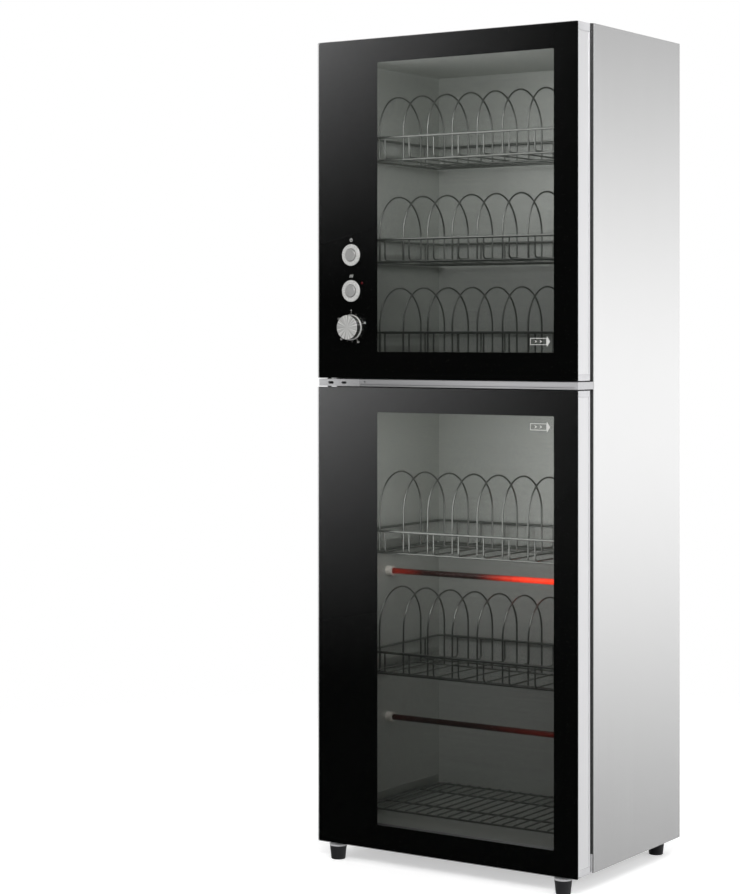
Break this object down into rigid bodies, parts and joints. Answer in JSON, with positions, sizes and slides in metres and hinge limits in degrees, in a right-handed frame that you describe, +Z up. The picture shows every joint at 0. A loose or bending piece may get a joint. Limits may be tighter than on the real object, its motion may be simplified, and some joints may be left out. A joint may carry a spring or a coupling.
{
  "type": "dish sterilizer cabinet",
  "caption": "Tall free-standing dish sterilizer cabinet with two smoked-glass doors, wire plate racks, push buttons, a timer knob and quartz heaters.",
  "frame": {"origin": "on the floor, at the middle of the bounding box, under the cabinet", "axes": "+Z up, +X to the right seen from the front, +Y to the back"},
  "size_m": [0.59, 0.463, 1.635],
  "materials": {
    "brushed_steel_panel": "fine vertical brushing",
    "galvanised_steel": "plain zinc-grey",
    "liner_steel": "matt stainless",
    "rail_silver": "satin anodised",
    "strip_aluminium": "satin anodised",
    "cap_plastic": "light grey moulded",
    "black_print": "black printed glass border",
    "smoked_glass": "grey tinted",
    "clear_glass": "clear",
    "gasket_rubber": "soft",
    "foot_rubber": "moulded",
    "hinge_steel": "zinc plated",
    "control_chrome": "satin chrome",
    "rack_chrome": "plated wire",
    "runner_steel": "matt stainless",
    "white_wool": "pressed glass wool",
    "black_plastic": "moulded",
    "bush_plastic": "acetal",
    "heater_ceramic": "steatite",
    "quartz_glow": "milky quartz, glowing red"
  },
  "bodies": {
    "cabinet": {"left_side_panel": "brushed_steel_panel", "right_side_panel": "brushed_steel_panel", "top_cover": "galvanised_steel", "back_cover": "galvanised_steel", "base_plate": "galvanised_steel", "front_frame": "rail_silver", "mid_rail": "rail_silver", "upper_liner": "liner_steel", "lower_liner": "liner_steel", "insulation": "white_wool", "thermostat": "black_plastic", "terminal_block": "bush_plastic", "cable_gland": "black_plastic", "ozone_generator": "bush_plastic", "heater_tubes": "quartz_glow", "heater_holders": "heater_ceramic", "bottom_hinge_bracket": "hinge_steel", "right_foot_bracket": "hinge_steel", "top_hinge_bracket": "hinge_steel", "middle_hinge_bracket": "hinge_steel", "hinge_pins": "hinge_steel", "bracket_screws": "hinge_steel", "rubber_feet": "foot_rubber", "foot_collars": "hinge_steel", "rack_runners": "runner_steel"},
    "upper_door": {"upper_outer_glass": "smoked_glass", "upper_glass_border": "black_print", "upper_hinge_stile": "strip_aluminium", "upper_handle_strip": "strip_aluminium", "upper_end_caps": "cap_plastic", "upper_door_bushes": "bush_plastic", "upper_inner_panel": "liner_steel", "upper_inner_glass": "clear_glass", "upper_gasket": "gasket_rubber", "control_rings": "control_chrome", "switch_bodies": "black_plastic", "timer_body": "black_plastic"},
    "lower_door": {"lower_outer_glass": "smoked_glass", "lower_glass_border": "black_print", "lower_hinge_stile": "strip_aluminium", "lower_handle_strip": "strip_aluminium", "lower_end_caps": "cap_plastic", "lower_door_bushes": "bush_plastic", "lower_inner_panel": "liner_steel", "lower_inner_glass": "clear_glass", "lower_gasket": "gasket_rubber"},
    "top_button": {"top_button": "control_chrome"},
    "second_button": {"second_button": "control_chrome"},
    "timer_knob": {"timer_knob": "control_chrome"},
    "rack_1": {"rack_1_basket": "rack_chrome", "rack_1_dividers": "rack_chrome"},
    "rack_2": {"rack_2_basket": "rack_chrome", "rack_2_dividers": "rack_chrome"},
    "rack_3": {"rack_3_basket": "rack_chrome", "rack_3_dividers": "rack_chrome"},
    "rack_4": {"rack_4_basket": "rack_chrome", "rack_4_dividers": "rack_chrome"},
    "rack_5": {"rack_5_basket": "rack_chrome", "rack_5_dividers": "rack_chrome"},
    "bottom_rack": {"bottom_rack": "rack_chrome"}
  },
  "joints": [
    {"name": "upper_door_hinge", "type": "hinge", "parent": "cabinet", "child": "upper_door", "pos_m": [-0.283, -0.1905, 1.297], "axis": [0, 0, -1], "range_deg": [0, 110]},
    {"name": "lower_door_hinge", "type": "hinge", "parent": "cabinet", "child": "lower_door", "pos_m": [-0.283, -0.1905, 0.4885], "axis": [0, 0, -1], "range_deg": [0, 110]},
    {"name": "top_button_push", "type": "slide", "parent": "upper_door", "child": "top_button", "axis": [0, 1, 0], "range_m": [0, 0.003], "stiffness_N_per_m": 500, "springref_m": -0.002},
    {"name": "second_button_push", "type": "slide", "parent": "upper_door", "child": "second_button", "axis": [0, 1, 0], "range_m": [0, 0.003], "stiffness_N_per_m": 500, "springref_m": -0.002},
    {"name": "timer_knob_turn", "type": "hinge", "parent": "upper_door", "child": "timer_knob", "pos_m": [-0.2135, -0.2155, 1.0623], "axis": [0, 1, 0], "range_deg": [0, 300]},
    {"name": "rack_1_slide", "type": "slide", "parent": "cabinet", "child": "rack_1", "axis": [0, -1, 0], "range_m": [0, 0.045]},
    {"name": "rack_2_slide", "type": "slide", "parent": "cabinet", "child": "rack_2", "axis": [0, -1, 0], "range_m": [0, 0.045]},
    {"name": "rack_3_slide", "type": "slide", "parent": "cabinet", "child": "rack_3", "axis": [0, -1, 0], "range_m": [0, 0.045]},
    {"name": "rack_4_slide", "type": "slide", "parent": "cabinet", "child": "rack_4", "axis": [0, -1, 0], "range_m": [0, 0.045]},
    {"name": "rack_5_slide", "type": "slide", "parent": "cabinet", "child": "rack_5", "axis": [0, -1, 0], "range_m": [0, 0.045]},
    {"name": "bottom_rack_slide", "type": "slide", "parent": "cabinet", "child": "bottom_rack", "axis": [0, -1, 0], "range_m": [0, 0.045]}
  ]
}
